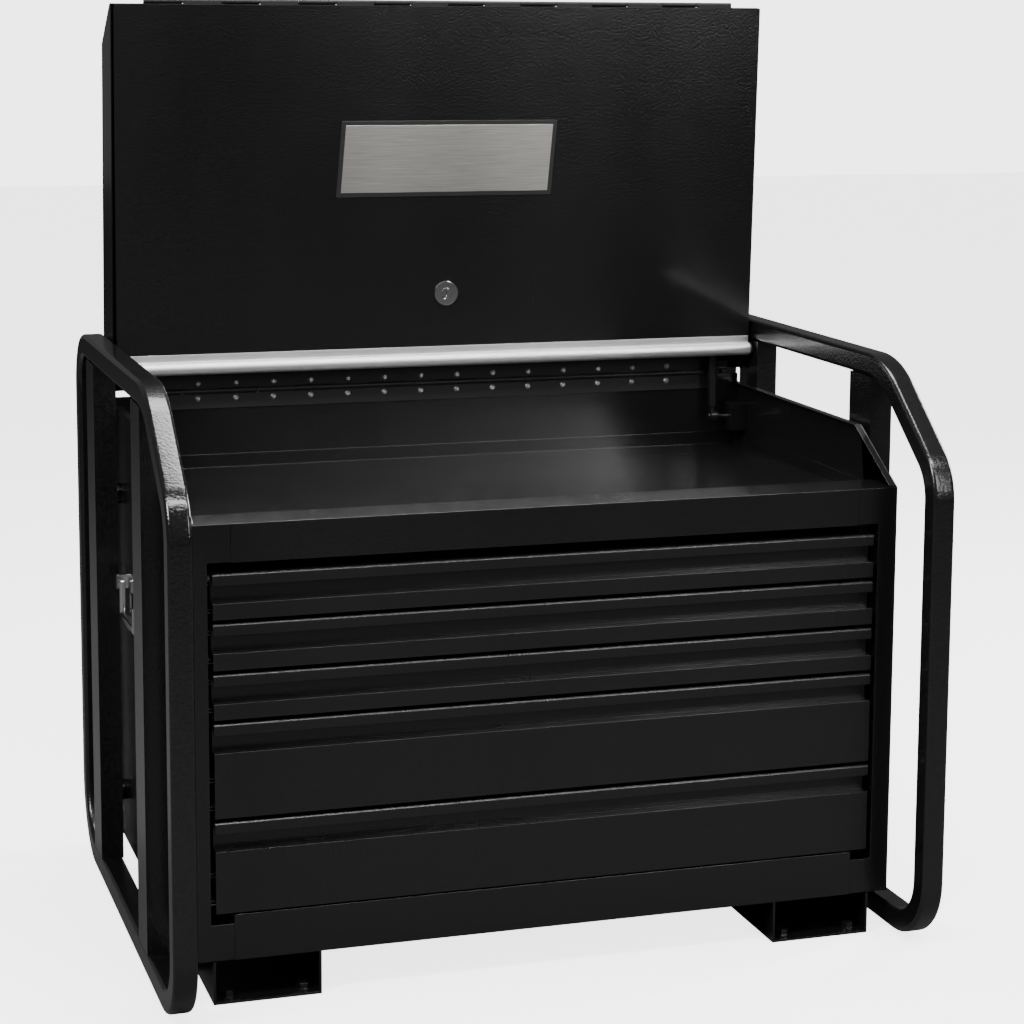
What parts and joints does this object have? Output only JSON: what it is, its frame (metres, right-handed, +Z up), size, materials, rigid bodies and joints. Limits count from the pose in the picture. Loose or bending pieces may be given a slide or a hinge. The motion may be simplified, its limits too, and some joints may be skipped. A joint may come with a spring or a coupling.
{
  "type": "tool chest",
  "caption": "Black steel tool chest with sliding drawers, an open well, a lift-up lid with a hanging front cover, gas struts, channel feet and tubular side guards.",
  "frame": {"origin": "under the middle of the chest, on the floor", "axes": "+Z up, drawers open towards -Y, +X to the right seen from the front"},
  "size_m": [0.987, 0.739, 1.1998],
  "materials": {
    "black_sheet": "glossy black powder coat with a fine orange peel",
    "black_front": "satin black powder coat",
    "black_tube": "textured gloss black powder coat",
    "zinc_steel": "bright zinc plate",
    "grip_aluminium": "satin extruded aluminium",
    "badge_steel": "brushed",
    "chrome_part": "polished",
    "black_plastic": "moulded"
  },
  "bodies": {
    "cabinet": {"side_panel_left": "black_sheet", "side_panel_right": "black_sheet", "rear_panel": "black_sheet", "bottom_panel": "black_sheet", "well_floor": "black_sheet", "top_rail": "black_sheet", "bottom_rail": "black_sheet", "front_posts": "black_sheet", "cabinet_slides": "zinc_steel", "hinge_cabinet_leaf": "black_sheet", "hinge_pin": "zinc_steel", "hinge_cabinet_rivets": "zinc_steel", "strut_brackets": "black_sheet", "guard_left": "black_tube", "guard_right": "black_tube", "guard_uprights": "black_tube", "side_handle_plates": "chrome_part", "channel_feet": "black_sheet", "chest_bolts": "black_sheet"},
    "drawer_1": {"drawer_1_box": "black_front", "drawer_1_front": "black_front", "drawer_1_pull": "black_front", "drawer_1_slides": "zinc_steel"},
    "drawer_2": {"drawer_2_box": "black_front", "drawer_2_front": "black_front", "drawer_2_pull": "black_front", "drawer_2_slides": "zinc_steel"},
    "drawer_3": {"drawer_3_box": "black_front", "drawer_3_front": "black_front", "drawer_3_pull": "black_front", "drawer_3_slides": "zinc_steel"},
    "drawer_4": {"drawer_4_box": "black_front", "drawer_4_front": "black_front", "drawer_4_pull": "black_front", "drawer_4_slides": "zinc_steel"},
    "drawer_5": {"drawer_5_box": "black_front", "drawer_5_front": "black_front", "drawer_5_pull": "black_front", "drawer_5_slides": "zinc_steel"},
    "lid": {"lid_pan": "black_sheet", "lid_stiffener": "black_sheet", "hinge_lid_leaf": "black_sheet", "hinge_lid_rivets": "zinc_steel", "cover_hinge_lid_leaf": "black_sheet", "cover_hinge_pin": "zinc_steel", "strut_lid_studs": "black_sheet"},
    "cover": {"cover_panel": "black_sheet", "cover_hinge_cover_leaf": "black_sheet", "cover_grip": "grip_aluminium", "grip_end_caps": "black_plastic", "badge_plate": "badge_steel", "lock_body": "chrome_part"},
    "lock_turning": {"lock_plug": "chrome_part", "lock_cam": "zinc_steel"},
    "strut_left_cylinder": {"strut_left_cylinder": "black_sheet"},
    "strut_right_cylinder": {"strut_right_cylinder": "black_sheet"},
    "strut_left_rod": {"strut_left_rod": "chrome_part"},
    "strut_right_rod": {"strut_right_rod": "chrome_part"},
    "side_handle_left_bail": {"side_handle_left_bail": "chrome_part"},
    "side_handle_right_bail": {"side_handle_right_bail": "chrome_part"}
  },
  "joints": [
    {"name": "lid_hinge", "type": "hinge", "parent": "cabinet", "child": "lid", "pos_m": [0, 0.2448, 0.668], "axis": [-1, 0, 0], "range_deg": [-94.1, 0]},
    {"name": "cover_hinge", "type": "hinge", "parent": "lid", "child": "cover", "pos_m": [0, 0.20598, 1.19658], "axis": [-1, 0, 0], "range_deg": [0, 188.2]},
    {"name": "lock_turn", "type": "hinge", "parent": "cover", "child": "lock_turning", "pos_m": [0, 0.22337, 0.79836], "axis": [0, -0.999, -0.0436], "range_deg": [0, 90]},
    {"name": "drawer_1_slide", "type": "slide", "parent": "cabinet", "child": "drawer_1", "axis": [0, -1, 0], "range_m": [0, 0.36]},
    {"name": "drawer_2_slide", "type": "slide", "parent": "cabinet", "child": "drawer_2", "axis": [0, -1, 0], "range_m": [0, 0.36]},
    {"name": "drawer_3_slide", "type": "slide", "parent": "cabinet", "child": "drawer_3", "axis": [0, -1, 0], "range_m": [0, 0.36]},
    {"name": "drawer_4_slide", "type": "slide", "parent": "cabinet", "child": "drawer_4", "axis": [0, -1, 0], "range_m": [0, 0.36]},
    {"name": "drawer_5_slide", "type": "slide", "parent": "cabinet", "child": "drawer_5", "axis": [0, -1, 0], "range_m": [0, 0.36]},
    {"name": "strut_left_pivot", "type": "hinge", "parent": "cabinet", "child": "strut_left_cylinder", "pos_m": [0, 0.2245, 0.605], "axis": [-1, 0, 0], "range_deg": [-81.29, 0]},
    {"name": "strut_left_stroke", "type": "slide", "parent": "strut_left_cylinder", "child": "strut_left_rod", "axis": [0, 0.0794, 0.9968], "range_m": [-0.07885, 0]},
    {"name": "side_handle_left_swing", "type": "hinge", "parent": "cabinet", "child": "side_handle_left_bail", "pos_m": [-0.466, 0.0995, 0.429], "axis": [0, 1, 0], "range_deg": [0, 90]},
    {"name": "strut_right_pivot", "type": "hinge", "parent": "cabinet", "child": "strut_right_cylinder", "pos_m": [0, 0.2245, 0.605], "axis": [-1, 0, 0], "range_deg": [-81.29, 0]},
    {"name": "strut_right_stroke", "type": "slide", "parent": "strut_right_cylinder", "child": "strut_right_rod", "axis": [0, 0.0794, 0.9968], "range_m": [-0.07885, 0]},
    {"name": "side_handle_right_swing", "type": "hinge", "parent": "cabinet", "child": "side_handle_right_bail", "pos_m": [0.466, 0.0995, 0.429], "axis": [0, -1, 0], "range_deg": [0, 90]}
  ],
  "couplings": [
    {"joint": "cover_hinge", "follows": "lid_hinge", "ratio": -2},
    {"joint": "strut_left_pivot", "follows": "lid_hinge", "ratio": 0.86374},
    {"joint": "strut_left_stroke", "follows": "lid_hinge", "m_per_rad": 0.047997},
    {"joint": "strut_right_pivot", "follows": "lid_hinge", "ratio": 0.86374},
    {"joint": "strut_right_stroke", "follows": "lid_hinge", "m_per_rad": 0.047997}
  ]
}
